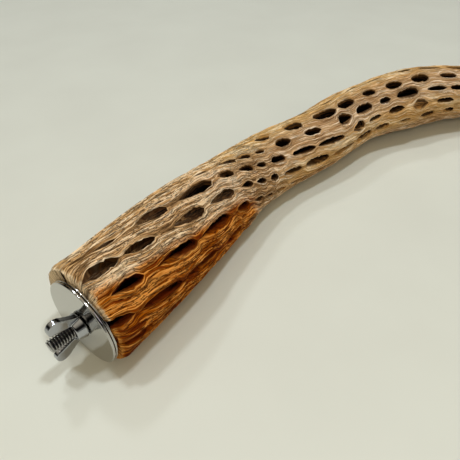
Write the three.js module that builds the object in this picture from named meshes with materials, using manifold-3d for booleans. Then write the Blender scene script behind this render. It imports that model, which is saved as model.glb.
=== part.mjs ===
import * as THREE from 'three';
import { mergeVertices } from 'three/addons/utils/BufferGeometryUtils.js';
import Module from 'manifold-3d';

// A length of cholla cactus skeleton with a bolt, two washers and a wing nut at one end, which
// clamp a wire panel between the washers so that the wood stands out from it as a perch.
// Millimetres, +Z up. The origin is the centre of the fixed washer's clamping face, and +X runs
// along the bolt into the wood.

// Surface that the wood lies on, below the bolt's axis
const FLOOR = -21.7;

// Wood: stations along the branch, with its half thickness and its clearance from the surface.
// The first and last lie beyond the two saw cuts.
const BRANCH = [
  { x: -45, y: -4.5, radius: 24.4, lift: 0 },
  { x: 1.5, y: -0.7, radius: 24.4, lift: 0 },
  { x: 48.5, y: 4.1, radius: 24.4, lift: 0 },
  { x: 98.5, y: 11.3, radius: 22.2, lift: 0 },
  { x: 148.5, y: 13, radius: 20.2, lift: 0 },
  { x: 198.5, y: 4.6, radius: 20.7, lift: 1 },
  { x: 248.5, y: -2.9, radius: 21, lift: 3.4 },
  { x: 288.5, y: -20.5, radius: 21.5, lift: 4.8 },
  { x: 328.5, y: -46.6, radius: 20.4, lift: 4.2 },
  { x: 365, y: -72, radius: 20.2, lift: 0 },
  { x: 402, y: -98, radius: 20.2, lift: 0 },
];
const SAW_CUT_X = 1.5;
const SAW_CUT_STATION = 1;
const WOOD_LENGTH = 388;
const WASTE_SIZE = 120;
const PITH_SHARE = 0.37;

// Eyes of the skeleton: node after node they stand in columns that spiral along the branch.
// A node's neighbours in the net are the 5th, 8th and 13th nodes from it.
const COLUMNS = 13;
const COLUMNS_PER_NODE = 8;
const NEIGHBOUR_STEPS = { across: 5, back: 8, along: 13 };
const RING_DISTANCES = [
  -45, -20, 5, 28, 57, 87, 107, 120, 132, 150, 177, 203, 226, 249, 273, 297, 320, 343, 366, 389, 412, 435,
];
const FIRST_RING = 2;
const FIRST_ANGLE = THREE.MathUtils.degToRad(12);
const TWIST_PER_RING = THREE.MathUtils.degToRad(9.3);
const LATE_TWIST_PER_RING = THREE.MathUtils.degToRad(2.5);
const LATE_RING = 11;
const EYE_LENGTH_SHARE = 0.72;
const EYE_WIDTH = 5.4;
const EYE_WIDTH_AT_SPACING = 26;
const EYE_TIP_SHARE = 0.14;
const SMALLEST_EYE = 10;
const END_MARGIN = 12;
// Two eyes where side branches grew are wider than the others
const SCARS = [
  { column: 11, ring: 11, width: 10 },
  { column: 12, ring: 14, width: 9 },
];

// Dowel glued into the pith, which holds the bolt's screw end
const PLUG_RADIUS = 11.7;
const PLUG_LENGTH = 40;
const PLUG_RECESS = 0.3;
const GLUE_GAP = 0.3;
const SCREW_HOLE_DEPTH = 33;

// Bolt with a machine thread outside and a wood screw inside
const BOLT_RADIUS = 3.15;
const BOLT_OUTER_END = -17.3;
const BOLT_CHAMFER = 0.7;
const BOLT_SHOULDER = 6;
const SCREW_RADIUS = 2.9;
const SCREW_POINT_START = 24;
const SCREW_POINT = 30;

// Washers
const WASHER_RADIUS = 21;
const WASHER_HOLE_RADIUS = 3.6;
const WASHER_THICKNESS = 1.2;
const WASHER_EDGE = 0.25;
const WASHER_GAP = 0.3;

// Wing nut: a tapered boss with two upright wings
const NUT_BORE_RADIUS = 3.45;
const BOSS_BASE_RADIUS = 6.3;
const BOSS_TOP_RADIUS = 5.2;
const BOSS_HEIGHT = 4.8;
const WING_THICKNESS = 2.7;
const WING_ROOT = { inside: 4.2, outside: 7.2, height: 0.8 };
const WING_WAIST = { reach: 8.9, height: 4.4 };
const WING_SHOULDER = { reach: 12.2, height: 8.4 };
const WING_EDGE = { reach: 14.2, height: 11.8 };
const WING_CROWN = { reach: 9.2, height: 14.7 };
const WING_INNER_TOP = { reach: 6.5, height: 12 };
const WING_THROAT = { reach: 4.6, height: 5.6 };
const WING_ARC_STEPS = 7;
const WING_TURN = THREE.MathUtils.degToRad(95);

// Fineness of the round pieces and of the branch's centre line
const ROUND_SIDES = 40;
const THREAD_SIDES = 24;
const LINE_STEPS = 400;

const wasm = await Module();
wasm.setup();

function solidOf(geometry) {
  const bare = geometry.clone();
  bare.deleteAttribute('normal');
  bare.deleteAttribute('uv');
  const merged = mergeVertices(bare);
  return new wasm.Manifold(new wasm.Mesh({
    numProp: 3,
    vertProperties: Float32Array.from(merged.attributes.position.array),
    triVerts: Uint32Array.from(merged.index.array),
  }));
}

function geometryOf(solid) {
  const mesh = solid.getMesh();
  const geometry = new THREE.BufferGeometry();
  geometry.setAttribute('position', new THREE.BufferAttribute(mesh.vertProperties, mesh.numProp));
  geometry.setIndex(new THREE.BufferAttribute(mesh.triVerts, 1));
  geometry.computeVertexNormals();
  return geometry;
}

// Branch: its centre line, its radius and the directions across it at a distance from the saw cut

const centreLine = new THREE.CatmullRomCurve3(
  BRANCH.map(({ x, y, radius, lift }) => new THREE.Vector3(x, y, FLOOR + radius + lift)),
);
const radiusLine = new THREE.SplineCurve(
  BRANCH.map(({ radius }, station) => new THREE.Vector2(station, radius)),
);
centreLine.arcLengthDivisions = LINE_STEPS;
const lineLength = centreLine.getLength();
const stepToSawCut = Math.round(LINE_STEPS * SAW_CUT_STATION / (BRANCH.length - 1));
const lead = centreLine.getLengths()[stepToSawCut];

function branchAt(distance) {
  const share = THREE.MathUtils.clamp((distance + lead) / lineLength, 0, 1);
  const along = centreLine.getTangentAt(share);
  const side = new THREE.Vector3().crossVectors(along, new THREE.Vector3(0, 0, 1)).normalize();
  return {
    centre: centreLine.getPointAt(share),
    radius: radiusLine.getPoint(centreLine.getUtoTmapping(share)).y,
    along,
    side,
    up: new THREE.Vector3().crossVectors(side, along),
  };
}

// Net: places are given by column and growth, where one unit of growth is a ring

function ringDistance(growth) {
  const ring = Math.floor(growth);
  return THREE.MathUtils.lerp(RING_DISTANCES[ring], RING_DISTANCES[ring + 1], growth - ring);
}

function grainTwist(growth) {
  const late = Math.max(growth - LATE_RING, 0);
  return (growth - FIRST_RING - late) * TWIST_PER_RING + late * LATE_TWIST_PER_RING;
}

function netPlace(column, growth, radiusShare) {
  const { centre, radius, up, side } = branchAt(ringDistance(growth));
  const angle = FIRST_ANGLE + column * 2 * Math.PI / COLUMNS + grainTwist(growth);
  return centre
    .addScaledVector(up, Math.cos(angle) * radius * radiusShare)
    .addScaledVector(side, Math.sin(angle) * radius * radiusShare);
}

// Each node owns two of the joints where three struts meet, and its cell has six joints round it
const { across, back, along: nextRing } = NEIGHBOUR_STEPS;
const columnOf = (node) => (node * COLUMNS_PER_NODE) % COLUMNS;
const JOINTS = [
  { column: 2 / 3, growth: (across - back) / (3 * nextRing) },
  { column: 1 / 3, growth: (across + nextRing) / (3 * nextRing) },
];
const CELL = [
  { step: 0, joint: 0 },
  { step: 0, joint: 1 },
  { step: back, joint: 0 },
  { step: -across, joint: 1 },
  { step: -across, joint: 0 },
  { step: -nextRing, joint: 1 },
];

// The eye of a node as six corners in columns and growth, or none where it is too small or too near an end
function eyeCorners(node) {
  const growth = node / nextRing;
  const ring = Math.floor(growth);
  const distance = ringDistance(growth);
  const spacing = RING_DISTANCES[ring + 1] - RING_DISTANCES[ring];
  const length = spacing * EYE_LENGTH_SHARE;
  if (length < SMALLEST_EYE || distance < END_MARGIN || distance > WOOD_LENGTH - END_MARGIN) {
    return [];
  }
  const column = columnOf(node);
  const scar = SCARS.find((one) => one.column === column && one.ring === ring);
  const width = scar ? scar.width : EYE_WIDTH * Math.sqrt(spacing / EYE_WIDTH_AT_SPACING);
  const columnWidth = 2 * Math.PI * branchAt(distance).radius / COLUMNS;
  const half = width / 2 / columnWidth;
  const tip = half * EYE_TIP_SHARE;
  const reach = EYE_LENGTH_SHARE / 2;
  return [[half, 0], [tip, reach], [-tip, reach], [-half, 0], [-tip, -reach], [tip, -reach]]
    .map(([columns, rings]) => ({ column: column + columns, growth: growth + rings }));
}

// The whole net as one closed body: bark side, pith side, the walls of the eyes and both ragged ends
function woodNet() {
  const places = [];
  const triangles = [];
  const jointNumbers = new Map();
  const addPair = (column, growth) => {
    places.push(netPlace(column, growth, 1), netPlace(column, growth, PITH_SHARE));
    return places.length - 2;
  };
  const jointPair = (node, joint) => {
    const key = `${node}/${joint}`;
    if (!jointNumbers.has(key)) {
      const offset = JOINTS[joint];
      jointNumbers.set(key, addPair(columnOf(node) + offset.column, node / nextRing + offset.growth));
    }
    return jointNumbers.get(key);
  };
  const addQuad = (a, b, c, d) => triangles.push([a, b, c], [a, c, d]);
  const openEdges = new Map();
  const firstNode = nextRing;
  const lastNode = nextRing * (RING_DISTANCES.length - 2);
  for (let node = firstNode; node <= lastNode; node += 1) {
    const joints = CELL.map(({ step, joint }) => jointPair(node + step, joint));
    const eye = eyeCorners(node).map(({ column, growth }) => addPair(column, growth));
    joints.forEach((joint, i) => {
      const next = joints[(i + 1) % joints.length];
      if (!openEdges.delete(`${next}/${joint}`)) {
        openEdges.set(`${joint}/${next}`, [joint, next]);
      }
      if (eye.length) {
        const corner = eye[i];
        const nextCorner = eye[(i + 1) % eye.length];
        addQuad(joint, next, nextCorner, corner);
        addQuad(next + 1, joint + 1, corner + 1, nextCorner + 1);
        addQuad(corner, nextCorner, nextCorner + 1, corner + 1);
      } else if (i > 0 && i < joints.length - 1) {
        triangles.push([joints[0], joint, next], [joints[0] + 1, next + 1, joint + 1]);
      }
    });
  }
  openEdges.forEach(([joint, next]) => addQuad(next, joint, joint + 1, next + 1));
  const geometry = new THREE.BufferGeometry().setFromPoints(places);
  geometry.setIndex(triangles.flat());
  return geometry;
}

// Solids of revolution about the bolt's axis, from points of x along it and radius

function turnedPiece(profile, sides) {
  const points = profile.map(({ x, radius }) => new THREE.Vector2(radius, x));
  const geometry = new THREE.LatheGeometry(points, sides);
  return geometry.rotateZ(-Math.PI / 2);
}

function plainRod(radius, start, end, sides) {
  return turnedPiece([
    { x: start, radius: 0 },
    { x: start, radius },
    { x: end, radius },
    { x: end, radius: 0 },
  ], sides);
}

// Cholla skeleton: the net, sawn off at both ends and bored for the plug

const waste = new THREE.BoxGeometry(WASTE_SIZE, WASTE_SIZE, WASTE_SIZE).translate(WASTE_SIZE / 2, 0, 0);
const farEnd = branchAt(WOOD_LENGTH);
const farFrame = new THREE.Matrix4().makeBasis(farEnd.along, farEnd.side.negate(), farEnd.up);
const farWaste = waste.clone().applyMatrix4(farFrame.setPosition(farEnd.centre));
const nearWaste = waste.clone().translate(SAW_CUT_X - WASTE_SIZE, 0, 0);
const plugStart = SAW_CUT_X + PLUG_RECESS;
const plugEnd = plugStart + PLUG_LENGTH;
const plugBore = plainRod(PLUG_RADIUS + GLUE_GAP, SAW_CUT_X - 1, plugEnd + GLUE_GAP, ROUND_SIDES);
const skeleton = solidOf(woodNet())
  .subtract(solidOf(nearWaste))
  .subtract(solidOf(farWaste))
  .subtract(solidOf(plugBore));

// End plug

const plug = turnedPiece([
  { x: SCREW_HOLE_DEPTH, radius: 0 },
  { x: SCREW_HOLE_DEPTH, radius: BOLT_RADIUS + GLUE_GAP },
  { x: plugStart, radius: BOLT_RADIUS + GLUE_GAP },
  { x: plugStart, radius: PLUG_RADIUS },
  { x: plugEnd, radius: PLUG_RADIUS },
  { x: plugEnd, radius: 0 },
], ROUND_SIDES);

// Hanger bolt

const bolt = turnedPiece([
  { x: BOLT_OUTER_END, radius: 0 },
  { x: BOLT_OUTER_END, radius: BOLT_RADIUS - BOLT_CHAMFER },
  { x: BOLT_OUTER_END + BOLT_CHAMFER, radius: BOLT_RADIUS },
  { x: BOLT_SHOULDER, radius: BOLT_RADIUS },
  { x: BOLT_SHOULDER, radius: SCREW_RADIUS },
  { x: SCREW_POINT_START, radius: SCREW_RADIUS },
  { x: SCREW_POINT, radius: 0 },
], THREAD_SIDES);

// Washers: the fixed one bears on the wood, the loose one is pressed on by the nut

function washer(start) {
  const end = start + WASHER_THICKNESS;
  return turnedPiece([
    { x: start, radius: WASHER_HOLE_RADIUS },
    { x: start, radius: WASHER_RADIUS - WASHER_EDGE },
    { x: start + WASHER_EDGE, radius: WASHER_RADIUS },
    { x: end - WASHER_EDGE, radius: WASHER_RADIUS },
    { x: end, radius: WASHER_RADIUS - WASHER_EDGE },
    { x: end, radius: WASHER_HOLE_RADIUS },
    { x: start, radius: WASHER_HOLE_RADIUS },
  ], ROUND_SIDES);
}

// Wing nut

const looseWasherStart = -WASHER_GAP - WASHER_THICKNESS;
const nutBase = looseWasherStart - WASHER_GAP;
const boss = turnedPiece([
  { x: nutBase - BOSS_HEIGHT, radius: NUT_BORE_RADIUS },
  { x: nutBase - BOSS_HEIGHT, radius: BOSS_TOP_RADIUS },
  { x: nutBase, radius: BOSS_BASE_RADIUS },
  { x: nutBase, radius: NUT_BORE_RADIUS },
  { x: nutBase - BOSS_HEIGHT, radius: NUT_BORE_RADIUS },
], THREAD_SIDES);

// One wing, drawn as reach from the axis against height above the washer, then stood on the boss
function wing(turn) {
  const outline = new THREE.Shape();
  outline.moveTo(WING_ROOT.inside, WING_ROOT.height);
  outline.lineTo(WING_ROOT.outside, WING_ROOT.height);
  outline.quadraticCurveTo(WING_WAIST.reach, WING_WAIST.height, WING_SHOULDER.reach, WING_SHOULDER.height);
  outline.bezierCurveTo(
    WING_EDGE.reach, WING_EDGE.height,
    WING_SHOULDER.reach, WING_CROWN.height,
    WING_CROWN.reach, WING_CROWN.height,
  );
  outline.quadraticCurveTo(
    WING_INNER_TOP.reach, WING_CROWN.height,
    WING_INNER_TOP.reach, WING_INNER_TOP.height,
  );
  outline.lineTo(WING_THROAT.reach, WING_THROAT.height);
  outline.closePath();
  const blade = new THREE.ExtrudeGeometry(outline, {
    depth: WING_THICKNESS, bevelEnabled: false, curveSegments: WING_ARC_STEPS,
  });
  blade.translate(0, 0, -WING_THICKNESS / 2);
  const outward = new THREE.Vector3(0, Math.cos(turn), Math.sin(turn));
  const height = new THREE.Vector3(-1, 0, 0);
  const breadth = new THREE.Vector3().crossVectors(outward, height);
  const frame = new THREE.Matrix4().makeBasis(outward, height, breadth);
  return blade.applyMatrix4(frame.setPosition(nutBase, 0, 0));
}

const nut = solidOf(boss).add(solidOf(wing(WING_TURN))).add(solidOf(wing(WING_TURN + Math.PI)));

// Assembly

const weatheredWood = new THREE.MeshStandardMaterial({ color: '#b08a5e', roughness: 0.8, metalness: 0 });
const dowelWood = new THREE.MeshStandardMaterial({ color: '#8a5c34', roughness: 0.75, metalness: 0 });
const boltSteel = new THREE.MeshStandardMaterial({ color: '#b9bbbd', roughness: 0.25, metalness: 1 });
const washerSteel = new THREE.MeshStandardMaterial({ color: '#d3d3d0', roughness: 0.2, metalness: 1 });
const nutSteel = new THREE.MeshStandardMaterial({ color: '#c4c5c6', roughness: 0.22, metalness: 1 });

function named(name, geometry, material) {
  const mesh = new THREE.Mesh(geometry, material);
  mesh.name = name;
  return mesh;
}

const perch = new THREE.Group();
perch.add(named('cholla_skeleton', geometryOf(skeleton), weatheredWood));
perch.add(named('end_plug', geometryOf(solidOf(plug)), dowelWood));
perch.add(named('hanger_bolt', geometryOf(solidOf(bolt)), boltSteel));
perch.add(named('inner_washer', geometryOf(solidOf(washer(0))), washerSteel));
perch.add(named('outer_washer', geometryOf(solidOf(washer(looseWasherStart))), washerSteel));
perch.add(named('wing_nut', geometryOf(nut), nutSteel));

export default perch;
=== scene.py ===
import math

import bpy
import numpy as np
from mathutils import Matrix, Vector


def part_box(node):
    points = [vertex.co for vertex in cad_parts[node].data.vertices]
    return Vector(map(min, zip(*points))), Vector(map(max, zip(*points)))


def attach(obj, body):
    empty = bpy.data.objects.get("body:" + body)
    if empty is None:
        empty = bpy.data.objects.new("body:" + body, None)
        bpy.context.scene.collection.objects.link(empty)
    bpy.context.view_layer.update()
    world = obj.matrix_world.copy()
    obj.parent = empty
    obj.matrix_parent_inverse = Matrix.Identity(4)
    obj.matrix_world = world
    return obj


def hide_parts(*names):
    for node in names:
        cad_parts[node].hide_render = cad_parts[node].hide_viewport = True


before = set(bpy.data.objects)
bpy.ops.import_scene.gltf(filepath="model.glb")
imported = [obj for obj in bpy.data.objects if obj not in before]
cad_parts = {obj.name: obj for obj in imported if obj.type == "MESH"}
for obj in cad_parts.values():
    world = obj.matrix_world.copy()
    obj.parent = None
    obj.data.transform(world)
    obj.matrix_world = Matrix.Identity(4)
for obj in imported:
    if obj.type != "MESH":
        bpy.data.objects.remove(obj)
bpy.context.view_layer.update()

# View
# The photograph is taken from above the bolted end, looking along the wood and down at it.
# The lens is as long as the sensor is wide, like a telephone's main camera.
MM = 0.001
camera_place = Vector((-55.7, -127.4, 159.5)) * MM
view_direction = Vector((0.5833, 0.4807, -0.6547))


def new_object(name, data, material=None):
    piece = bpy.data.objects.new(name, data)
    if material:
        data.materials.append(material)
    bpy.context.collection.objects.link(piece)
    return piece


camera_data = bpy.data.cameras.new("photo_camera")
camera_data.sensor_width = 36
camera_data.lens = 36
camera_data.clip_start = 10 * MM
camera = new_object("photo_camera", camera_data)
camera.location = camera_place
camera.rotation_euler = view_direction.to_track_quat("-Z", "Y").to_euler()
bpy.context.scene.camera = camera

# Floor and light
# A plain pale table top with a dull sheen, under three cool round lamps overhead: one on the camera's
# side, one behind and a weak one beyond it. A wide warm fill stands beside the camera.
# The steel mirrors a room that is dark between its pale foot and top, and a card that lights the rims.
FLOOR = -21.75
floor_half_width = 3.0


def linear(hex_colour):
    shares = [int(hex_colour[i:i + 2], 16) / 255 for i in (1, 3, 5)]
    return [*(s / 12.92 if s <= 0.04045 else ((s + 0.055) / 1.055) ** 2.4 for s in shares), 1.0]


def add_node(tree, kind, settings=None, inputs=None):
    """A node with its settings (a ramp's colour stops too) and its inputs: values, sockets or nodes."""
    node = tree.nodes.new(kind)
    for name, value in (settings or {}).items():
        if name == "stops":
            while len(node.color_ramp.elements) < len(value):
                node.color_ramp.elements.new(0.5)
            for element, (position, colour) in zip(node.color_ramp.elements, value):
                element.position = position
                element.color = linear(colour)
        else:
            setattr(node, name, value)
    for name, value in (inputs or {}).items():
        if isinstance(value, bpy.types.Node):
            value = next(socket for socket in value.outputs if socket.enabled)
        if isinstance(value, bpy.types.NodeSocket):
            tree.links.new(value, node.inputs[name])
        else:
            node.inputs[name].default_value = value
    return node


def new_material(name):
    material = bpy.data.materials.new(name)
    material.use_nodes = True
    material.node_tree.nodes.clear()
    return material, material.node_tree


def add_surface(tree, inputs):
    shader = add_node(tree, "ShaderNodeBsdfPrincipled", inputs=inputs)
    add_node(tree, "ShaderNodeOutputMaterial", inputs={"Surface": shader})


# Painted board: even and pale, with faint mottling about 60 mm across
board, tree = new_material("painted_board")
place = add_node(tree, "ShaderNodeTexCoord").outputs["Object"]
mottle = add_node(tree, "ShaderNodeTexNoise", inputs={"Vector": place, "Scale": 1 / (60 * MM), "Detail": 3})
tint = add_node(tree, "ShaderNodeValToRGB", {"stops": [(0.0, "#d2d3c8"), (1.0, "#dbddd2")]}, {"Fac": mottle})
add_surface(tree, {"Base Color": tint, "Roughness": 0.5, "Specular IOR Level": 0.3})

floor_mesh = bpy.data.meshes.new("floor")
corners = [
    (x * floor_half_width, y * floor_half_width, FLOOR * MM)
    for x, y in ((-1, -1), (1, -1), (1, 1), (-1, 1))]
floor_mesh.from_pydata(corners, [], [(0, 1, 2, 3)])
floor = new_object("floor", floor_mesh, board)

# Lamps: name, place in metres, width in metres, watts, colour.
# The fill isn't mirrored in the steel, and the card lights only mirror reflections.
lamp_target = Vector((0.12, 0.0, 0.0))
lamp_width = 0.26
lamp_white = "#eff7ff"
lamps = [
    ("near_lamp", Vector((0.62, -0.45, 2.40)), lamp_width, 20.0, lamp_white),
    ("back_lamp", Vector((0.05, 0.62, 2.40)), lamp_width, 14.5, lamp_white),
    ("beyond_lamp", Vector((0.72, 1.30, 2.00)), lamp_width, 6.5, lamp_white),
    ("window_fill", Vector((-0.80, -0.75, 0.85)), 0.90, 7.5, "#ffedcd"),
    ("rim_card", Vector((0.82, -0.91, 0.68)), 0.85, 1.3, "#f0eeff"),
]
for name, lamp_place, width, watts, colour in lamps:
    lamp_data = bpy.data.lights.new(name, "AREA")
    lamp_data.shape = "DISK"
    lamp_data.size = width
    lamp_data.energy = watts
    lamp_data.color = linear(colour)[:3]
    lamp = new_object(name, lamp_data)
    lamp.location = lamp_place
    lamp.rotation_euler = (lamp_target - lamp_place).to_track_quat("-Z", "Y").to_euler()
    lamp.visible_glossy = name != "window_fill"
    lamp.visible_diffuse = name != "rim_card"

room = bpy.data.worlds.new("pale_room")
room.use_nodes = True
tree = room.node_tree
tree.nodes.clear()
room_direction = add_node(tree, "ShaderNodeTexCoord").outputs["Generated"]
room_height = add_node(tree, "ShaderNodeSeparateXYZ", inputs={"Vector": room_direction})
room_shade = add_node(tree, "ShaderNodeValToRGB", {
    "stops": [
        (0.0, "#c4c2b8"), (0.14, "#a8a69d"), (0.3, "#121110"), (0.6, "#262422"), (0.88, "#f4e8d0"),
        (1.0, "#fff3da")]}, {
    "Fac": room_height.outputs["Z"]})
room_light = add_node(tree, "ShaderNodeBackground", inputs={"Color": room_shade, "Strength": 0.58})
add_node(tree, "ShaderNodeOutputWorld", inputs={"Surface": room_light})
bpy.context.scene.world = room
bpy.context.scene.view_settings.view_transform = "Standard"

# Cholla skeleton
# The dried woody net of a cholla cactus stem, hollow along its pith and sawn off at both ends.
# Bundles of fibre part round an eye at every place where a spine cushion grew, in the order that
# the plant made them: each eye's neighbours are the 5th, 8th and 13th from it.

# Stations along the branch: x, y, half thickness and clearance from the floor, in mm
stations = np.array([
    (-45.0, -4.5, 24.4, 0.0), (1.5, -0.7, 24.4, 0.0), (48.5, 4.1, 24.4, 0.0), (98.5, 11.3, 22.2, 0.0),
    (148.5, 13.0, 20.2, 0.0), (198.5, 4.6, 20.7, 1.0), (248.5, -2.9, 21.0, 3.4), (288.5, -20.5, 21.5, 4.8),
    (328.5, -46.6, 20.4, 4.2), (365.0, -72.0, 20.2, 0.0), (402.0, -98.0, 20.2, 0.0),
])
saw_cut_x = 1.5
wood_length = 388.0
pith_share = 0.37
socket_radius = 12.0
socket_end = 42.1
# Distance in mm from the saw cut to each ring of 13 eyes. The rings crowd together at the neck.
ring_distances = np.array([
    -45, -20, 5, 28, 57, 87, 107, 120, 132, 150, 177, 203, 226, 249, 273, 297, 320, 343, 366, 389, 412, 435])
# Angles are in degrees, half lengths in rings and half widths in mm
column_count = 13
columns_per_eye = 8
first_ring = 2
first_angle = 12.0
twist_per_ring = 9.3
late_ring = 11
late_twist_per_ring = 2.5
eye_half_length = 0.37
late_eye_half_length = 0.32
eye_half_width = 2.75
late_eye_half_width = 3.0
usual_spacing = 26.0
neck_ring = 7.7
# Eyes where side branches broke off: column, ring, half width in mm, half length in rings, and a floor
scars = {(11, 11): (4.4, 0.27, False), (12, 14): (4.2, 0.27, True)}
row_count = 330
lines_per_column = 16
line_count = column_count * lines_per_column
inner_step = 8
inner_count = line_count // inner_step
grain_random = np.random.default_rng(5817)


def smooth_curve(knots, values, at):
    slopes = np.gradient(values, knots, axis=0)
    low = np.clip(np.searchsorted(knots, at, side="right") - 1, 0, len(knots) - 2)
    width = (knots[low + 1] - knots[low])[:, None]
    t = (at - knots[low])[:, None] / width
    return ((1 + 2 * t) * (1 - t) ** 2 * values[low] + t * (1 - t) ** 2 * width * slopes[low]
            + t ** 2 * (3 - 2 * t) * values[low + 1] + t ** 2 * (t - 1) * width * slopes[low + 1])


def eased(low, high, value):
    t = np.clip((value - low) / (high - low), 0, 1)
    return t * t * (3 - 2 * t)


def unit(vectors):
    return vectors / np.linalg.norm(vectors, axis=-1, keepdims=True)


# Rows across the branch, evenly spaced in growth, so that they crowd together at its narrow neck
fine_steps = 2001
smooth_steps = 61
fine_growth = np.linspace(0, len(ring_distances) - 1, fine_steps)
window = np.ones(smooth_steps) / smooth_steps
ring_numbers = np.arange(len(ring_distances))
fine_distance = np.convolve(np.interp(fine_growth, ring_numbers, ring_distances), window, "same")
smoothed = slice(smooth_steps - 1, 1 - smooth_steps)
growth_ends = np.interp([0, wood_length], fine_distance[smoothed], fine_growth[smoothed])
row_numbers = np.arange(row_count + 1)
row_growth = np.linspace(*growth_ends, row_count + 1)
row_distance = np.interp(row_growth, fine_growth, fine_distance)
row_spacing = np.gradient(row_distance, row_growth)
rows_per_ring = row_count / (growth_ends[1] - growth_ends[0])

centres = np.column_stack([stations[:, 0], stations[:, 1], FLOOR + stations[:, 2] + stations[:, 3]])
knots = np.concatenate([[0], np.cumsum(np.linalg.norm(np.diff(centres, axis=0), axis=1))])
knots -= knots[1]
branch = smooth_curve(knots, np.column_stack([centres, stations[:, 2]]), row_distance)
row_centre = branch[:, :3]
row_radius = branch[:, 3]
row_along = unit(np.gradient(row_centre, row_distance, axis=0))
row_side = unit(np.cross(row_along, [0, 0, 1]))
row_up = np.cross(row_side, row_along)
late = np.maximum(row_growth - late_ring, 0)
row_twist = (row_growth - first_ring - late) * twist_per_ring + late * late_twist_per_ring


def grain_noise(along_rows, across_lines):
    white = grain_random.standard_normal((row_count + 1, line_count))
    row_waves = np.fft.fftfreq(row_count + 1)[:, None] * along_rows
    line_waves = np.fft.fftfreq(line_count)[None, :] * across_lines
    blur = np.exp(-2 * np.pi ** 2 * (row_waves ** 2 + line_waves ** 2))
    soft = np.fft.ifft2(np.fft.fft2(white) * blur).real
    return soft / soft.std()


# Relief of the bark side in mm: fibres, strands with sharp grooves between them, and slow lumps.
# The wood is worn smoother beyond the neck, and the lines of grain wander.
fibre_relief = 0.17
strand_relief = 0.75
lump_relief = 0.6
relief_sink = 0.75
mean_strand = 0.8
wander_reach = 0.6
fibre = grain_noise(7, 0.5)
strand = np.minimum(np.abs(grain_noise(12, 1.5)), 1.3)
lump = grain_noise(16, 8)
wander = wander_reach * grain_noise(14, 14)
coarse = 1 - 0.5 * eased(90, 150, row_distance)[:, None]
relief = coarse * (fibre_relief * fibre + strand_relief * strand) + lump_relief * lump - relief_sink
ridge = strand - mean_strand + 0.3 * fibre
rim = np.zeros((row_count + 1, line_count))
row_turn = np.radians(first_angle + row_twist)[:, None]
line_turn = np.arange(line_count) * 2 * np.pi / line_count
grain_turn = row_turn + line_turn + wander / row_radius[:, None]

# The eyes push the lines of grain apart. Before the neck each is pointed towards the bolted end, blunt
# towards the other, and slants into the wood that way. Beyond the neck they are blunt at both ends, and
# less even.
# On the back of the top the wood is worn down, and the eyes there are small and shallow.
# An eye's ends are powers of the distance from its near and far tip: the greater, the sharper.
pointed_ends = (0.72, 0.36)
blunt_ends = (0.36, 0.30)
scar_ends = (0.3, 0.75)
sawn_ends = (0.42, 0.5)
place_spread = 0.05
length_spread = 0.2
width_spread = 0.28
edge_spread = 0.09
late_unevenness = 1.6
eye_slant = 0.45
slant_spread = 0.3
late_eye_slant = 0.12
worn_from, worn_to = -85, -8
worn_width = 0.45
worn_length = 0.7
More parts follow.
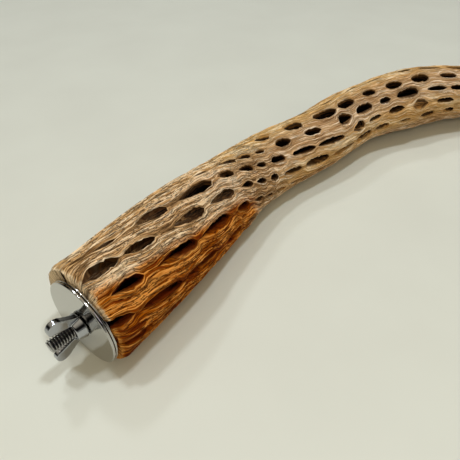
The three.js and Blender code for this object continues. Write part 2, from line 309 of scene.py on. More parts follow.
# An eye has a floor if its draw, from -1 to 1, is above these limits. A floor's painted shade is that of
# wood at such a depth in mm.
floor_draw_limit = 0.85
worn_floor_draw_limit = -0.5
usual_painted_shade = 1.9
worn_painted_shade = 1.1
scar_painted_shade = 0.4
narrowest_share = 0.07
rim_swell = 0.3
scar_swell = 1.8
spare_eyes = 6
opening = np.zeros((row_count + 1, line_count))
slit_gap = np.zeros((row_count + 1, column_count))
eyes = []
first_number = math.floor(growth_ends[0] * column_count) - spare_eyes
last_number = math.ceil(growth_ends[1] * column_count) + spare_eyes
for number in range(first_number, last_number + 1):
    column = number * columns_per_eye % column_count
    growth = number / column_count
    length_draw, width_draw, floor_draw, slant_draw, place_draw = grain_random.uniform(-1, 1, 5)
    scar = scars.get((column, math.floor(growth)))
    after_neck = growth > neck_ring
    uneven = late_unevenness if after_neck else 1.0
    centre_row = (growth + place_spread * uneven * place_draw - growth_ends[0]) * rows_per_ring
    nearest = int(np.clip(round(centre_row), 0, row_count))
    distance = row_distance[nearest]
    angle = (first_angle + column * 360 / column_count + row_twist[nearest] + 180) % 360 - 180
    half_length = late_eye_half_length if after_neck else eye_half_length
    half_length *= 1 + length_spread * uneven * length_draw
    half_width = late_eye_half_width if after_neck else eye_half_width
    half_width *= math.sqrt(row_spacing[nearest] / usual_spacing) * (1 + width_spread * uneven * width_draw)
    on_base_top = distance < 68 and -60 < angle < 32
    has_floor = (floor_draw > floor_draw_limit and not after_neck) or on_base_top
    slant = late_eye_slant if after_neck else eye_slant + slant_spread * slant_draw
    near_power, far_power = blunt_ends if after_neck else pointed_ends
    floor_painted_shade = usual_painted_shade
    if worn_from < angle < worn_to:
        half_width *= worn_width
        half_length *= worn_length
        has_floor = floor_draw > worn_floor_draw_limit
        floor_painted_shade = worn_painted_shade
    if scar:
        half_width, half_length, has_floor = scar
        near_power, far_power = scar_ends
        floor_painted_shade = scar_painted_shade
    half_rows = half_length * rows_per_ring
    # An eye at the top of the saw cut stays whole, just inside it
    if 0 < centre_row < half_rows + 2 and -8 < angle < 35:
        half_rows *= 0.8
        centre_row = half_rows + 0.8
        near_power, far_power = sawn_ends
    first = max(math.ceil(centre_row - half_rows), 0)
    last = min(math.floor(centre_row + half_rows), row_count)
    rows = np.arange(first, last + 1)
    if len(rows) < 3:
        continue
    cut = first == 0 or last == row_count
    # No eye is cut open across the top and back of the bolted end
    if first == 0 and -75 < angle < 6:
        continue
    u = (rows - centre_row) / half_rows
    powers = near_power + far_power
    widest = (2 * near_power / powers) ** near_power * (2 * far_power / powers) ** far_power
    gap = half_width * np.maximum((1 + u) ** near_power * (1 - u) ** far_power / widest, narrowest_share)
    gap *= 1 + edge_spread * grain_random.standard_normal(len(rows))
    swell = np.maximum(1 - u * u, 0)
    slit = column * lines_per_column
    for step in range(1, lines_per_column):
        reach = (1 - step / lines_per_column) ** 2.1
        for way in (1, -1):
            line = (slit + way * step) % line_count
            opening[rows, line] += way * gap * reach
            relief[rows, line] += rim_swell * swell * math.exp(-((step - 1) / 1.5) ** 2)
            # Each eye's rim is made paler, a painted highlight on its edge.
            rim[rows, line] += swell * math.exp(-((step - 1) / 1.2) ** 2)
    rim[rows, slit] = swell
    if scar:
        row_offset = (row_numbers - centre_row)[:, None] / (1.5 * half_rows)
        line_offset = ((np.arange(line_count) - slit + line_count / 2) % line_count - line_count / 2) / 9
        relief += scar_swell * np.exp(-row_offset ** 2 - line_offset ** 2)
    slit_gap[rows, column] = gap
    floor_shade = floor_painted_shade if has_floor and not cut else None
    eyes.append((column, rows, centre_row, half_rows, floor_shade, 0.0 if cut else slant))

# The sawn faces are pale. The bolted end has a lip that stands out at the back beside a short split.
sawn_paleness = 2.4
rim[[0, -1]] += sawn_paleness
bark_depth = np.zeros((row_count + 1, line_count))
lip_angle = -58.0
lip_reach = 24.0
lip_height = 2.6
lip_length = 11.0
row_angle = (np.degrees(grain_turn) + 180) % 360 - 180
lip = np.exp(-((row_angle - lip_angle) / lip_reach) ** 2 - (row_distance[:, None] / lip_length) ** 2)
relief += lip_height * lip
rim += lip
split_angle = -30.0
split_rows = 5
split_depth = 3.2
split_line = round((split_angle - first_angle - row_twist[0]) * line_count / 360) % line_count
relief[:split_rows, split_line] -= split_depth * np.linspace(1, 0.3, split_rows)
# The split's line is given a depth, which paints it dark as shade.
bark_depth[:split_rows, split_line] = split_depth

bark_turn = grain_turn + opening / row_radius[:, None]
slits = np.arange(column_count) * lines_per_column
bark_turn[:, slits] -= slit_gap / row_radius[:, None]
right_turn = grain_turn[:, slits] + slit_gap / row_radius[:, None]

# The arrises of the sawn ends are worn round, and the top and front of the bolted end are trimmed down
# to the washers
arris_wear = 1.1
arris_width = 3
trim_depth = 2.5
trim_length = 9
worn = 0.0
for from_end in (row_distance, wood_length - row_distance):
    worn = worn + arris_wear * np.maximum(1 - from_end / arris_width, 0) ** 2
trimmed = trim_depth * eased(-35, 5, row_angle) * (1 - eased(80, 120, row_angle))
trimmed *= np.maximum(1 - row_distance / trim_length, 0)[:, None] ** 2
bark_radius = row_radius[:, None] + relief - worn[:, None] - trimmed


def place_on(rows, turn, radius):
    """Places in mm at whole or part rows, at a turn about the branch and a radius from its centre."""
    low = np.minimum(np.floor(rows).astype(int), row_count - 1)
    share = (rows - low)[..., None]
    centre, up, side = (
        table[low] * (1 - share) + table[low + 1] * share for table in (row_centre, row_up, row_side))
    outward = np.cos(turn)[..., None] * up + np.sin(turn)[..., None] * side
    return centre + outward * np.asarray(radius)[..., None]


# A point's depth paints shade on it. Its paleness is pale cut wood, or a painted highlight at an eye's rim.
class WoodPoints:
    """Points of the wood, each with its distance along, line of grain, turn, depth, ridge height and
    paleness.
    """

    def __init__(self):
        self.tables = []
        self.count = 0

    def add(self, places, distance, line, turn, depth, ridge_height, pale_and_highlight_share):
        shape = places.shape[:-1]
        facts = (distance, line, turn, depth, ridge_height, pale_and_highlight_share)
        columns = np.stack([np.broadcast_to(fact, shape) for fact in facts], axis=-1)
        self.tables.append(np.concatenate([places, columns], axis=-1).reshape(-1, 3 + len(facts)))
        numbers = np.arange(self.count, self.count + math.prod(shape)).reshape(shape)
        self.count += math.prod(shape)
        return numbers


wood_points = WoodPoints()
all_rows = row_numbers[:, None]
all_distances = row_distance[:, None]
bark_places = place_on(all_rows, bark_turn, bark_radius)
bark = wood_points.add(bark_places, all_distances, np.arange(line_count), bark_turn, bark_depth, ridge, rim)
bark_start = bark.copy()

# Pith side: a plain tube with the slits of the open eyes, and a round socket for the plug at the bolted end
through = np.zeros((row_count + 1, column_count))
for column, rows, centre_row, half_rows, floor_shade, slant in eyes:
    if floor_shade is None:
        through[rows, column] = slit_gap[rows, column]
pith_lines = np.arange(0, line_count, inner_step)
pith_slits = slits // inner_step
pith_turn = grain_turn[:, pith_lines].copy()
pith_slit_share = 0.62
pith_half = pith_slit_share * through / row_radius[:, None]
pith_turn[:, pith_slits] -= pith_half
pith_right_turn = grain_turn[:, slits] + pith_half


def pith_places(rows, turn):
    places = place_on(rows, turn, row_radius[rows] * pith_share * np.ones_like(turn))
    in_socket = row_centre[rows][..., 0] < socket_end
    direction = np.cos(turn)[..., None] * row_up[rows] + np.sin(turn)[..., None] * row_side[rows]
    socket = socket_radius * direction / np.hypot(direction[..., 1], direction[..., 2])[..., None]
    socket[..., 0] = places[..., 0]
    return np.where(np.broadcast_to(in_socket, turn.shape)[..., None], socket, places)


# The pith side's depth paints it black as shade, except on the sawn ends.
pith_depth = row_radius[:, None] * (1 - pith_share)
pith_depth[[0, -1]] = 0.0
pith = wood_points.add(
    pith_places(all_rows, pith_turn), all_distances, pith_lines, pith_turn, pith_depth, 0.0,
    rim[:, pith_lines])
pith_start = pith.copy()

# Walls of the eyes, as layers of depth in mm, shares of the eye's width at its upper and lower side, and
# share of its slant. The lower wall leans inward and catches the light.
# Some eyes have grown over below and have a brown floor like a boat. Walls and floors are painted darker
# with depth, as shade. The lower wall gets half that painted shade, and floors and lower walls get less
# of it towards the bolted end.
wall_layers = ((0.5, 0.99, 0.90, 0.06), (4.5, 0.84, 0.30, 1.0))
floor_layers = ((0.5, 0.99, 0.97, 0.05), (2.6, 0.76, 0.70, 0.3))
lower_wall_painted_shade = 0.5
shallow_share = 0.35
floor_lines = 4
faces = []
end_chains = {}
for column, rows, centre_row, half_rows, floor_shade, slant in eyes:
    has_floor = floor_shade is not None
    slit = slits[column]
    pith_slit = pith_slits[column]
    turn = right_turn[rows, column]
    bark_start[rows, slit] = wood_points.add(
        place_on(rows, turn, bark_radius[rows, slit]), row_distance[rows], slit, turn, 0.0,
        ridge[rows, slit], rim[rows, slit])
    if not has_floor:
        turn = pith_right_turn[rows, column]
        pith_start[rows, pith_slit] = wood_points.add(
            pith_places(rows, turn), row_distance[rows], slit, turn, pith_depth[rows, 0], 0.0, 0.0)
    first = max(rows[0] - 1, 0)
    chain_rows = np.arange(first, min(rows[-1] + 1, row_count) + 1)
    u = np.clip((chain_rows - centre_row) / half_rows, -1, 1)
    chain_gap = slit_gap[chain_rows, column]
    shade_deepening = shallow_share + (1 - shallow_share) * eased(-1, 0.7, u)
    left = [bark[chain_rows, slit]]
    right = [bark_start[chain_rows, slit]]
    for depth, upper_share, lower_share, slant_share in floor_layers if has_floor else wall_layers:
        slanted = np.clip(chain_rows + half_rows * slant * slant_share * (1 - u), 0, row_count)
        boat = 1.0
        if has_floor:
            boat = shallow_share + (1 - shallow_share) * np.sqrt(chain_gap / chain_gap.max())
        middle = np.interp(slanted, row_numbers, grain_turn[:, slit])
        outer_radius = bark_radius[:, slit] if depth < 1 else row_radius
        radius = np.interp(slanted, row_numbers, outer_radius) - depth * boat
        at = np.interp(slanted, row_numbers, row_distance)
        sides = []
        for way, share in ((-1, upper_share), (1, lower_share)):
            turn = middle + way * share * chain_gap / row_radius[chain_rows]
            if has_floor:
                line = slit + way * floor_lines
                painted_shade = (floor_shade + 0.25 * depth * boat) * shade_deepening
            else:
                line = slit
                painted_shade = depth * (lower_wall_painted_shade * shade_deepening if way == 1 else 1.0)
            sides.append(wood_points.add(place_on(slanted, turn, radius), at, line, turn, painted_shade, 0.0, 0.0))
        closed = chain_gap == 0
        sides[1][closed] = sides[0][closed]
        left.append(sides[0])
        right.append(sides[1])
    if has_floor:
        for i in range(len(chain_rows) - 1):
            faces.append([left[-1][i], right[-1][i], right[-1][i + 1], left[-1][i + 1]])
    else:
        left.append(pith[chain_rows, pith_slit])
        right.append(pith_start[chain_rows, pith_slit])
        for row in (0, row_count):
            if row in rows:
                layers = [[layer[row - first] for layer in side[1:-1]] for side in (left, right)]
                end_chains[row, column] = layers
    for i in range(len(chain_rows) - 1):
        for upper, lower in zip(left, left[1:]):
            faces.append([upper[i], lower[i], lower[i + 1], upper[i + 1]])
        for upper, lower in zip(right, right[1:]):
            faces.append([upper[i], upper[i + 1], lower[i + 1], lower[i]])

bark_end = np.roll(bark, -1, axis=1)
skin = np.stack([bark_start[:-1], bark_end[:-1], bark_end[1:], bark_start[1:]], axis=-1).reshape(-1, 4)
pith_end = np.roll(pith, -1, axis=1)
lining = np.stack([pith_start[:-1], pith_start[1:], pith_end[1:], pith_end[:-1]], axis=-1).reshape(-1, 4)
faces += skin.tolist() + lining.tolist()

# Sawn ends: flat faces from the bark to the pith, broken where an eye is cut through
no_chains = ([], [])
for row in (0, row_count):
    for step in range(inner_count):
        line = step * inner_step
        next_line = (line + inner_step) % line_count
        loop = [bark_start[row, line]] + [bark_end[row, line + i] for i in range(inner_step)]
        if next_line % lines_per_column == 0:
            loop += end_chains.get((row, next_line // lines_per_column), no_chains)[0]
        loop += [pith_end[row, step], pith_start[row, step]]
        if line % lines_per_column == 0:
            loop += end_chains.get((row, line // lines_per_column), no_chains)[1][::-1]
        faces.append(loop[::-1] if row == 0 else loop)

# Points that no face uses are dropped, and a face keeps each of its points once
faces = [list(dict.fromkeys(face)) for face in faces]
used, numbers = np.unique(np.concatenate(faces), return_inverse=True)
face_ends = np.cumsum([len(face) for face in faces])
faces = [part.tolist() for part in np.split(numbers, face_ends[:-1])]
wood_table = np.concatenate(wood_points.tables)[used]


def mark_grain(mesh, distance, line, turn, depth, ridge_height, pale_and_highlight_share):
    """Gives a wooden mesh its place in the straight grain, and where the wood changes colour.

    It is stained brown below the bolted end, but less on its saw cut, grey on top of that end and at the
    neck, and golden where it has been rubbed, along the back of its top and the front of the far part.
    Distances are in mm from the saw cut, and angles in degrees from the top towards the front.
    """
    usual_radius = 22
    angle = (np.degrees(turn) + 180) % 360 - 180
    angle_below = np.where(angle < -120, angle + 360, angle)
    stain_edge = 26 + 0.36 * distance
    stained = eased(-12, 14, angle_below - stain_edge) * (1 - eased(88, 124, distance))
    fresh = (1 - eased(-0.5, 0.9, distance)) * (1 - eased(58, 76, angle_below))
    stained *= (1 - eased(215, 235, angle_below)) * (1 - fresh)
    greyed = (1 - eased(60, 120, distance)) + 0.6 * (eased(92, 108, distance) - eased(132, 150, distance))
    rubbed_angle = 23 * eased(50, 130, distance) - 45
    rubbed = (0.35 + 0.65 * eased(80, 130, distance)) * (1 - eased(5, 50, np.abs(angle - rubbed_angle)))
    rubbed += 0.7 * eased(120, 165, distance) * (1 - eased(8, 42, np.abs(angle - 92)))
    line_angle = line * 2 * np.pi / line_count
    grain_radius = usual_radius - depth
    grain = MM * np.column_stack([
        distance, grain_radius * np.cos(line_angle), grain_radius * np.sin(line_angle)])
    grain_attribute = mesh.attributes.new("grain", "FLOAT_VECTOR", "POINT")
    grain_attribute.data.foreach_set("vector", grain.astype(np.float32).ravel())
    for name, values in (
        ("depth", depth * MM), ("ridge", ridge_height), ("rim", pale_and_highlight_share),
        ("stained", stained), ("greyed", np.clip(greyed, 0, 1)), ("rubbed", rubbed),
    ):
        mesh.attributes.new(name, "FLOAT", "POINT").data.foreach_set("value", values.astype(np.float32))


def wooden_mesh(name, table, clearance, edges, faces):
    """A mesh of wood points. Its end is sawn square to the bolt, and it stays clear of the floor."""
    places = table[:, :3]
    from_centre = places - row_centre[0]
    lean = (from_centre[:, 1] * row_along[0][1] + from_centre[:, 2] * row_along[0][2]) / row_along[0][0]
    places[:, 0] = np.maximum(places[:, 0] + (1 - eased(0, 30, table[:, 3])) * lean, saw_cut_x)
    places[:, 2] = np.maximum(places[:, 2], FLOOR + clearance)
    mesh = bpy.data.meshes.new(name)
    mesh.from_pydata((places * MM).tolist(), edges, faces)
    mark_grain(mesh, *table[:, 3:].T)
    return mesh


wood_clearance = 0.05
wood_mesh = wooden_mesh("cholla_wood", wood_table, wood_clearance, [], faces)
wood_mesh.shade_smooth()
wood_mesh.set_sharp_from_angle(angle=math.radians(50))


def stretched_noise(tree, vector, sizes, detail, roughness=0.5):
    """Noise drawn out to a size in mm along each axis."""
    scale = [1 / (size * MM) for size in sizes]
    stretched = add_node(tree, "ShaderNodeMapping", inputs={"Vector": vector, "Scale": scale})
    return add_node(tree, "ShaderNodeTexNoise", inputs={
        "Vector": stretched, "Scale": 1.0, "Detail": detail, "Roughness": roughness})


# Weathered cactus wood: fibrous, pale fibres over brown ones, with painted shade in thin grooves between
# them.
# Strands are about 2.4 mm wide and fibres 0.8 mm, a little coarser than the real ones so that they show.
# Such rough wood has next to no sheen.
wood, tree = new_material("weathered_cactus_wood")
grain = add_node(tree, "ShaderNodeAttribute", {"attribute_name": "grain"}).outputs["Vector"]
marks = {
    name: add_node(tree, "ShaderNodeAttribute", {"attribute_name": name}).outputs["Fac"]
    for name in ("depth", "ridge", "rim", "stained", "greyed", "rubbed")
}
# Fibres wander up to 1 mm to either side over some 20 mm
sway = stretched_noise(tree, grain, (18, 5, 5), 2)
sway_offset = add_node(tree, "ShaderNodeVectorMath", {"operation": "SUBTRACT"}, {
    0: sway.outputs["Color"], 1: (0.5, 0.5, 0.5)})
swayed = add_node(tree, "ShaderNodeVectorMath", {"operation": "MULTIPLY_ADD"}, {
    0: sway_offset, 1: (0, 2.6 * MM, 2.6 * MM), 2: grain})


def grooves(pattern, width):
    """Thin lines where a pattern crosses its middle: 0 in the line and 1 beside it."""
    folded = add_node(tree, "ShaderNodeMath", {"operation": "PINGPONG"}, {0: pattern, 1: 0.5})
    return add_node(tree, "ShaderNodeMapRange", {"interpolation_type": "SMOOTHSTEP"}, {
        "Value": folded, "From Min": 0.5 - width, "From Max": 0.5, "To Min": 1.0, "To Max": 0.0})


def weighted_sum(start, parts):
    """Parts added up by weight, on top of a start."""
    total = start
    for part, weight in parts:
        total = add_node(tree, "ShaderNodeMath", {"operation": "MULTIPLY_ADD"}, {
            0: part, 1: weight, 2: total})
    return total


strands, fibres, patches = (
    stretched_noise(tree, swayed, (length, width, width), detail, 0.55).outputs["Fac"]
    for length, width, detail in ((26, 2.4, 2), (12, 0.8, 2), (40, 16, 3)))
strand_grooves = grooves(strands, 0.04)
fibre_grooves = grooves(fibres, 0.05)
# Eye rims are paler as a painted highlight, and the sawn faces and lip are pale wood.
tone = weighted_sum(-1.16, (
    (strands, 0.7), (fibres, 2.0), (patches, 0.8), (marks["ridge"], 0.16), (marks["rim"], 0.26)))
tones = {
    name: add_node(tree, "ShaderNodeValToRGB", {"stops": stops}, {"Fac": tone})
    for name, stops in (
        ("tan", [(0.0, "#6c4c30"), (0.35, "#ba8e60"), (0.65, "#deb687"), (1.0, "#f8e2c6")]),
        ("grey", [(0.0, "#4e3720"), (0.35, "#a67e51"), (0.65, "#d2a875"), (1.0, "#f6dcb6")]),
        ("gold", [(0.0, "#a06c32"), (0.35, "#d8a45c"), (0.65, "#ecc07e"), (1.0, "#fae2b6")]),
        ("brown", [(0.0, "#320c00"), (0.35, "#7c3200"), (0.65, "#ac5c06"), (1.0, "#e29c4a")]),
    )
}
ragged = weighted_sum(marks["stained"], [(strands, 0.9)])
stain_share = add_node(tree, "ShaderNodeMapRange", {"interpolation_type": "SMOOTHSTEP"}, {
    "Value": ragged, "From Min": 0.7, "From Max": 1.2})
surface = tones["tan"]
for share, colour in (
    (marks["greyed"], tones["grey"]), (marks["rubbed"], tones["gold"]), (stain_share, tones["brown"]),
):
    surface = add_node(tree, "ShaderNodeMix", {"data_type": "RGBA"}, {0: share, 6: surface, 7: colour})
# The grooves are painted dark as shade, and fainter where the wood is worn smooth.
# Inside the eyes painted shade darkens the wood in streaks, down to black where it is deep.
shades = []
# Here roughness sets how strong the grooves' painted shade is.
roughness = weighted_sum(0.45, [(marks["greyed"], 0.7)])
for groove, most in ((strand_grooves, 0.6), (fibre_grooves, 0.75)):
    deepest = add_node(tree, "ShaderNodeMath", {"operation": "MULTIPLY"}, {0: roughness, 1: most})
    shade = add_node(tree, "ShaderNodeMapRange", inputs={"Value": groove, "To Min": deepest, "To Max": 0.0})
    shades.append((shade, "#3a2613", "#3a1302"))
streaks = add_node(tree, "ShaderNodeMapRange", inputs={
    "Value": fibres, "From Min": 0.35, "From Max": 0.65, "To Min": 0.35, "To Max": 1.7})
streaked_shade_depth = add_node(tree, "ShaderNodeMath", {"operation": "MULTIPLY"}, {0: marks["depth"], 1: streaks})
for start, end, most, colour, stained_colour in (
    (0.1, 1.1, 0.9, "#351b08", "#622404"), (1.2, 4.2, 0.98, "#090502", "#0d0401"),
):
    shade = add_node(tree, "ShaderNodeMapRange", {"interpolation_type": "SMOOTHSTEP"}, {
        "Value": streaked_shade_depth, "From Min": start * MM, "From Max": end * MM, "To Max": most})
    shades.append((shade, colour, stained_colour))
for shade, colour, stained_colour in shades:
    shade_colour = add_node(tree, "ShaderNodeMix", {"data_type": "RGBA"}, {
        0: stain_share, 6: linear(colour), 7: linear(stained_colour)})
    surface = add_node(tree, "ShaderNodeMix", {"data_type": "RGBA"}, {0: shade, 6: surface, 7: shade_colour})
height = weighted_sum(0.0, ((strand_grooves, 0.5), (fibre_grooves, 0.3), (fibres, 0.5), (strands, 0.6)))
relief_bump = add_node(tree, "ShaderNodeBump", inputs={
    "Height": height, "Distance": 0.8 * MM, "Strength": 0.9})
dullness = add_node(tree, "ShaderNodeMapRange", inputs={
    "Value": fibres, "From Min": 0.3, "From Max": 0.7, "To Min": 0.62, "To Max": 0.88})
add_surface(tree, {
    "Base Color": surface, "Roughness": dullness, "Normal": relief_bump, "Specular IOR Level": 0.06})

cholla = new_object("cholla_wood", wood_mesh, wood)
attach(cholla, "perch")
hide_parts("cholla_skeleton")

# Loose fibres
# Pale fibres that weathering has lifted from the bark side, still lying along the grain.
# A few near the saw cut have frayed and stand away at one end.
loose_count = 2400
loose_points = 9
shortest_rows = 6
extra_rows = 10
frayed_rows = 3
frayed_share = 0.05
frayed_lift = 2.2
base_share = 0.78
base_end = 112.0
drift_share = 0.4
# Lines of grain, counted from the middle of an eye, between which a fibre lies
nearest_line, farthest_line = 2.2, 13.8
# A fibre's middle stands off the bark and its ends dip into it, in mm
least_lift = 0.1
lift_spread = 0.15
end_dip = 0.45
fibre_clearance = 0.35
fibre_random = np.random.default_rng(91)


def between_lines(table, rows, at_lines):
    """Values of a table of rows and lines at places between them."""
    low_row = np.minimum(np.floor(rows).astype(int), row_count - 1)
    low_line = np.floor(at_lines).astype(int)
    row_share = rows - low_row
    line_share = at_lines - low_line
    near, far = (
        table[low_row, line] * (1 - row_share) + table[low_row + 1, line] * row_share
        for line in (low_line, low_line + 1))
    return near * (1 - line_share) + far * line_share


span = np.linspace(0, 1, loose_points)
base_rows = np.searchsorted(row_distance, base_end)
fibre_points = WoodPoints()
fibre_edges = []
for number in range(loose_count):
    draws = fibre_random.uniform(0, 1, 7)
    in_base, start_draw, long_draw, line_draw, drift_draw, fray_draw, lift_draw = draws
    length = shortest_rows + extra_rows * long_draw
    last_start = (base_rows if in_base < base_share else row_count) - length
    start = start_draw * (last_start if fray_draw > frayed_share else frayed_rows)
    frayed = start < frayed_rows
    column = 0 if frayed else number % column_count
    rows = start + length * span
    drift = (drift_draw - 0.5) * drift_share * length * span
    at_lines = slits[column] + np.clip(3 + 10 * line_draw + drift, nearest_line, farthest_line)
    turn = between_lines(bark_turn, rows, at_lines)
    lift = least_lift + lift_spread * lift_draw - end_dip * np.abs(2 * span - 1) ** 4
    if frayed:
        lift += frayed_lift * np.maximum(1 - span / 0.6, 0) ** 2
    radius = between_lines(bark_radius, rows, at_lines) + lift
    distance = np.interp(rows, row_numbers, row_distance)
    numbers = fibre_points.add(place_on(rows, turn, radius), distance, at_lines, turn, 0.0, 1.0, 0.5)
    fibre_edges += list(zip(numbers[:-1].tolist(), numbers[1:].tolist()))

fibre_table = np.concatenate(fibre_points.tables)
fibre_paths = wooden_mesh("fibre_paths", fibre_table, fibre_clearance, fibre_edges, [])


def node_group(name, sockets):
    """An empty geometry tree with named inputs, and the values for a modifier by socket identifier."""
    group = bpy.data.node_groups.new(name, "GeometryNodeTree")
    values = {}
    for socket_name, kind, value in sockets:
        item = group.interface.new_socket(socket_name, in_out="INPUT", socket_type="NodeSocket" + kind)
        if kind != "Geometry":
            values[item.identifier] = value
    group.interface.new_socket("Geometry", in_out="OUTPUT", socket_type="NodeSocketGeometry")
    return group, values


def end_tree(tree, shape, material):
    """Ends a geometry tree with smooth shading and a material."""
    smooth = add_node(tree, "GeometryNodeSetShadeSmooth", inputs={"Geometry": shape})
    whole = add_node(tree, "GeometryNodeRealizeInstances", inputs={"Geometry": smooth})
    coloured = add_node(tree, "GeometryNodeSetMaterial", inputs={"Geometry": whole, "Material": material})
    add_node(tree, "NodeGroupOutput", inputs={"Geometry": coloured})


def baked(source, name):
    """The mesh that an object's modifiers make. The object itself is removed."""
    shape = source.evaluated_get(bpy.context.evaluated_depsgraph_get())
    mesh = bpy.data.meshes.new_from_object(shape)
    bpy.data.objects.remove(source)
    mesh.name = name
    return mesh


def grown(name, base_mesh, group, values):
    """A plain mesh made by a geometry tree on a base mesh."""
    source = new_object(name + "_source", base_mesh)
    modifier = source.modifiers.new(group.name, "NODES")
    modifier.node_group = group
    for identifier, value in values.items():
        modifier[identifier] = value
    return baked(source, name)


tree, fibre_values = node_group("lifted_fibres", (
    ("Geometry", "Geometry", None), ("Thickness", "Float", 0.23 * MM), ("Sides", "Int", 4),
    ("Wood", "Material", wood),
))
given = add_node(tree, "NodeGroupInput").outputs
paths = add_node(tree, "GeometryNodeMeshToCurve", inputs={"Mesh": given["Geometry"]})
path_share = add_node(tree, "GeometryNodeSplineParameter").outputs["Factor"]
half_wave = add_node(tree, "ShaderNodeMath", {"operation": "MULTIPLY"}, {0: path_share, 1: math.pi})
swelling = add_node(tree, "ShaderNodeMath", {"operation": "SINE"}, {0: half_wave})
taper = add_node(tree, "ShaderNodeMapRange", inputs={"Value": swelling, "To Min": 0.25})
tapered = add_node(tree, "GeometryNodeSetCurveRadius", inputs={"Curve": paths, "Radius": taper})
section = add_node(tree, "GeometryNodeCurvePrimitiveCircle", inputs={
    "Resolution": given["Sides"], "Radius": given["Thickness"]})
threads = add_node(tree, "GeometryNodeCurveToMesh", inputs={
    "Curve": tapered, "Profile Curve": section, "Fill Caps": True})
end_tree(tree, threads, given["Wood"])

loose_fibres = new_object("loose_fibres", grown("loose_fibres", fibre_paths, tree, fibre_values))
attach(loose_fibres, "perch")

# End plug
# A turned hardwood dowel glued into the socket at the bolted end, which holds the bolt's screw.
# Only glimpses of it show through the eyes near the washer.

# Turned dowel: dull brown, with fine straight grain 1 mm wide and 16 mm long
dowel, tree = new_material("turned_dowel")
place = add_node(tree, "ShaderNodeTexCoord").outputs["Object"]
dowel_grain = stretched_noise(tree, place, (16, 1, 1), 4)
dowel_colour = add_node(tree, "ShaderNodeValToRGB", {"stops": [(0.3, "#2e1a0c"), (0.7, "#50301a")]}, {
    "Fac": dowel_grain})
dowel_bump = add_node(tree, "ShaderNodeBump", inputs={"Height": dowel_grain, "Distance": 0.1 * MM})
add_surface(tree, {"Base Color": dowel_colour, "Roughness": 0.75, "Normal": dowel_bump})
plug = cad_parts["end_plug"]
plug.data.materials.clear()
plug.data.materials.append(dowel)

# Washers
# Two wide stamped steel washers, polished bright, with their edges rolled slightly round.
# The inner one bears on the sawn wood and the outer one is pressed by the nut.
washer_hole_radius = 3.6
washer_edge = 0.3
washer_sides = 144


def turned(name, outline, sides):
    """A piece turned about the bolt's axis, from a closed outline of places along it and radii, in mm."""
    turns = np.arange(sides) * 2 * np.pi / sides
    corners = [
        (x * MM, r * math.cos(turn) * MM, r * math.sin(turn) * MM) for turn in turns for x, r in outline]
    count = len(outline)
    quads = []
    for side in range(sides):
        here = side * count
        there = (side + 1) % sides * count
        for i in range(count):
            following = (i + 1) % count
            quads.append((here + i, there + i, there + following, here + following))
    mesh = bpy.data.meshes.new(name)
    mesh.from_pydata(corners, [], quads)
    mesh.shade_smooth()
    return mesh


def rounded_washer(name, node):
    """A washer with rolled edges. The rings between its hole and rim keep the flat faces evenly shaded."""
    low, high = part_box(node)
    start, end, radius = low[0] / MM, high[0] / MM, high[1] / MM
    steps = [i * math.pi / 8 for i in range(5)]
    rolled = [(washer_edge * (1 - math.sin(t)), radius - washer_edge * (1 - math.cos(t))) for t in steps]
    radii = (washer_hole_radius, washer_hole_radius + 0.4, 8, 14, radius - washer_edge - 0.3)
    outline = [(start, r) for r in radii]
    outline += [(start + x, r) for x, r in reversed(rolled)]
    outline += [(end - x, r) for x, r in rolled]
    outline += [(end, r) for r in reversed(radii)]
    return turned(name, outline, washer_sides)


def bright_steel(name, colour, roughness):
    """Polished steel: mirror bright, with faint hairlines 0.9 mm apart and smears about 9 mm across.

    The roots of a thread are painted dark, as shade.
    """
    material, tree = new_material(name)
    place = add_node(tree, "ShaderNodeTexCoord").outputs["Object"]
    hairline, smear = (
        add_node(tree, "ShaderNodeTexNoise", inputs={
            "Vector": place, "Scale": 1 / (size * MM), "Detail": detail})
        for size, detail in ((0.9, 5), (9, 3)))
    polish = add_node(tree, "ShaderNodeMapRange", inputs={
        "Value": smear, "From Min": 0.3, "From Max": 0.7,
        "To Min": roughness * 0.7, "To Max": roughness * 1.5})
    bump = add_node(tree, "ShaderNodeBump", inputs={
        "Height": hairline, "Distance": 0.01 * MM, "Strength": 0.25})
    root = add_node(tree, "ShaderNodeAttribute", {"attribute_name": "root"}).outputs["Fac"]
    root_shaded = add_node(tree, "ShaderNodeMix", {"data_type": "RGBA"}, {
        0: root, 6: linear(colour), 7: linear("#1d1a18")})
    add_surface(tree, {
        "Base Color": root_shaded.outputs[2], "Metallic": 1.0, "Roughness": polish, "Normal": bump})
    return material


washer_steel = bright_steel("polished_washer_steel", "#bebcb7", 0.08)
for name, node, body in (
    ("fixed_washer", "inner_washer", "perch"), ("loose_washer_plate", "outer_washer", "loose_washer"),
):
    washer = new_object(name, rounded_washer(name, node), washer_steel)
    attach(washer, body)
    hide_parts(node)

# Hanger bolt
# A bright steel stud with a rolled machine thread outside the wood and a wood screw in the plug.
# The thread's crests are slightly rounded, and the outer end is chamfered.
bolt_low, bolt_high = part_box("hanger_bolt")
bolt_shoulder = 6.0 * MM
screw_radius = 2.9 * MM
bolt_steel = bright_steel("bright_bolt_steel", "#a09e9d", 0.12)

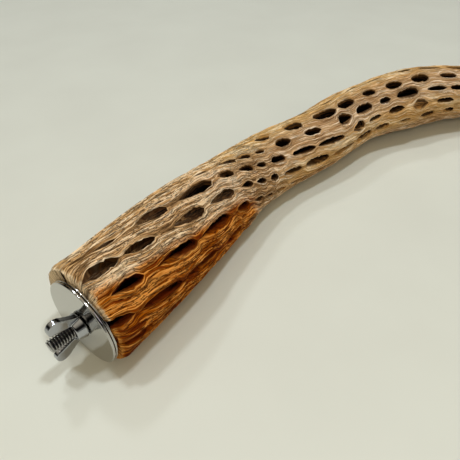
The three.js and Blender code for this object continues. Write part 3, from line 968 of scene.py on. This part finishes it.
tree, stud_values = node_group("rolled_thread", (
    ("Start", "Float", bolt_low[0]), ("End", "Float", bolt_shoulder), ("Radius", "Float", bolt_high[1]),
    ("Pitch", "Float", 1.27 * MM), ("Depth", "Float", 0.8 * MM), ("Chamfer", "Float", 0.5 * MM),
    ("Point", "Float", 0.1 * MM), ("Steps", "Int", 240), ("Sides", "Int", 41),
    ("Steel", "Material", bolt_steel),
))
given = add_node(tree, "NodeGroupInput").outputs
sheet = add_node(tree, "GeometryNodeMeshGrid", inputs={
    "Size X": 1.0, "Size Y": 1.0, "Vertices X": given["Steps"], "Vertices Y": given["Sides"]})
flat_place = add_node(tree, "ShaderNodeSeparateXYZ", inputs={
    "Vector": add_node(tree, "GeometryNodeInputPosition")})
share, turn_share = (
    add_node(tree, "ShaderNodeMath", {"operation": "ADD"}, {0: flat_place.outputs[axis], 1: 0.5})
    for axis in ("X", "Y"))
along = add_node(tree, "ShaderNodeMapRange", inputs={
    "Value": share, "To Min": given["Start"], "To Max": given["End"]})
threads = add_node(tree, "ShaderNodeMath", {"operation": "DIVIDE"}, {0: along, 1: given["Pitch"]})
phase = add_node(tree, "ShaderNodeMath", {"operation": "SUBTRACT"}, {0: threads, 1: turn_share})
flank = add_node(tree, "ShaderNodeMath", {"operation": "PINGPONG"}, {0: phase, 1: 0.5})
groove = add_node(tree, "ShaderNodeMapRange", inputs={
    "Value": flank, "From Min": 0.1, "From Max": 0.44})
cut_depth = add_node(tree, "ShaderNodeMath", {"operation": "MULTIPLY"}, {0: groove, 1: given["Depth"]})
threaded = add_node(tree, "ShaderNodeMath", {"operation": "SUBTRACT"}, {0: given["Radius"], 1: cut_depth})
# The radius is held in by the chamfer at the outer end and by the point at the inner one
end_radius, from_start, from_end = (
    add_node(tree, "ShaderNodeMath", {"operation": "SUBTRACT"}, {0: more, 1: less})
    for more, less in ((given["Radius"], given["Chamfer"]), (along, given["Start"]), (given["End"], along)))
chamfered = add_node(tree, "ShaderNodeMath", {"operation": "ADD"}, {0: end_radius, 1: from_start})
point_share = add_node(tree, "ShaderNodeMath", {"operation": "DIVIDE"}, {0: from_end, 1: given["Point"]})
pointed = add_node(tree, "ShaderNodeMath", {"operation": "MULTIPLY"}, {0: point_share, 1: given["Radius"]})
held = threaded
for limit in (chamfered, pointed):
    held = add_node(tree, "ShaderNodeMath", {"operation": "MINIMUM"}, {0: held, 1: limit})
off_start = add_node(tree, "ShaderNodeMath", {"operation": "GREATER_THAN"}, {0: share, 1: 0.001})
radius = add_node(tree, "ShaderNodeMath", {"operation": "MULTIPLY"}, {0: held, 1: off_start})
turn = add_node(tree, "ShaderNodeMath", {"operation": "MULTIPLY"}, {0: turn_share, 1: 2 * math.pi})
across = {
    axis: add_node(tree, "ShaderNodeMath", {"operation": "MULTIPLY"}, {
        0: radius, 1: add_node(tree, "ShaderNodeMath", {"operation": wave}, {0: turn})})
    for axis, wave in (("Y", "SINE"), ("Z", "COSINE"))
}
round_place = add_node(tree, "ShaderNodeCombineXYZ", inputs={"X": along, **across})
# The thread's roots are marked so that the steel there is painted dark as shade.
root = add_node(tree, "ShaderNodeMath", {"operation": "POWER"}, {0: groove, 1: 2.0})
rooted = add_node(tree, "GeometryNodeStoreNamedAttribute", {"data_type": "FLOAT", "domain": "POINT"}, {
    "Geometry": sheet, "Name": "root", "Value": root})
rolled = add_node(tree, "GeometryNodeSetPosition", inputs={"Geometry": rooted, "Position": round_place})
closed = add_node(tree, "GeometryNodeMergeByDistance", inputs={"Geometry": rolled, "Distance": 0.002 * MM})
end_tree(tree, closed, given["Steel"])

screw_sizes = {
    "Start": bolt_shoulder, "End": bolt_high[0], "Radius": screw_radius, "Pitch": 2.5 * MM, "Depth": 0.9 * MM,
    "Point": 6.0 * MM, "Steps": 160,
}
screw_values = dict(stud_values)
for item in tree.interface.items_tree:
    if item.name in screw_sizes:
        screw_values[item.identifier] = screw_sizes[item.name]
for name, values in (("threaded_stud", stud_values), ("wood_screw", screw_values)):
    piece = new_object(name, grown(name, bpy.data.meshes.new("thread_base"), tree, values))
    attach(piece, "perch")
    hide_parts("hanger_bolt")

# Wing nut
# Cast in one, with a tapered boss and two upright wings whose roots run smoothly into it,
# then tumbled and bright plated.
nut_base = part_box("wing_nut")[1][0] / MM
wing_turn = math.radians(95)
wing_thickness = 2.7
bore_radius = 3.45
boss_height = 4.8
boss_top_radius = 5.2
boss_base_radius = 6.2
boss_chamfer = 0.3
boss_sides = 64


def bezier(*points, steps=8):
    """Points of a curve from the first given point to the last, drawn towards the ones between."""
    t = np.linspace(0, 1, steps + 1)[:, None]
    layers = [np.array(point) * np.ones_like(t) for point in points]
    while len(layers) > 1:
        layers = [a * (1 - t) + b * t for a, b in zip(layers, layers[1:])]
    return layers[0]


# Wing, as reach from the axis and height above the washer, in mm
wing_outline = np.concatenate([
    [(4.2, 0.8)],
    bezier((7.2, 0.8), (8.9, 4.4), (12.2, 8.4)),
    bezier((12.2, 8.4), (14.2, 11.8), (12.2, 14.7), (9.2, 14.7))[1:],
    bezier((9.2, 14.7), (6.5, 14.7), (6.5, 12.0))[1:],
    [(4.6, 5.6)],
])
boss_top = nut_base - boss_height
boss_outline = [
    (nut_base, boss_base_radius - boss_chamfer), (nut_base - boss_chamfer, boss_base_radius),
    (boss_top + boss_chamfer, boss_top_radius), (boss_top, boss_top_radius - boss_chamfer),
    (boss_top, bore_radius + boss_chamfer), (boss_top + boss_chamfer, bore_radius), (nut_base, bore_radius),
]
rough_mesh = turned("rough_casting", boss_outline, boss_sides)
corners = [vertex.co[:] for vertex in rough_mesh.vertices]
loops = [polygon.vertices[:] for polygon in rough_mesh.polygons]
for way in (1, -1):
    outward = Vector((0, way * math.cos(wing_turn), way * math.sin(wing_turn)))
    height_way = Vector((-1, 0, 0))
    breadth = outward.cross(height_way)
    start = len(corners)
    count = len(wing_outline)
    for side in (-0.5, 0.5):
        for wing_reach, up_by in wing_outline:
            spot = Vector((nut_base, 0, 0)) + outward * wing_reach + height_way * up_by
            corners.append(tuple((spot + breadth * side * wing_thickness) * MM))
    loops.append(tuple(start + i for i in reversed(range(count))))
    loops.append(tuple(start + count + i for i in range(count)))
    for i in range(count):
        following = (i + 1) % count
        loops.append((start + i, start + following, start + count + following, start + count + i))
rough_mesh.clear_geometry()
rough_mesh.from_pydata(corners, [], loops)
casting = new_object("rough_casting", rough_mesh)
remesh = casting.modifiers.new("casting", "REMESH")
remesh.mode = "VOXEL"
remesh.voxel_size = 0.22 * MM
tumble = casting.modifiers.new("tumbling", "SMOOTH")
tumble.factor = 0.5
tumble.iterations = 14
cast_mesh = baked(casting, "wing_nut_casting")
cast_mesh.shade_smooth()
cast_mesh.materials.clear()
nut = new_object("wing_nut_casting", cast_mesh, bright_steel("bright_nut_plate", "#b4b6bb", 0.09))
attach(nut, "nut")
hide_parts("wing_nut")
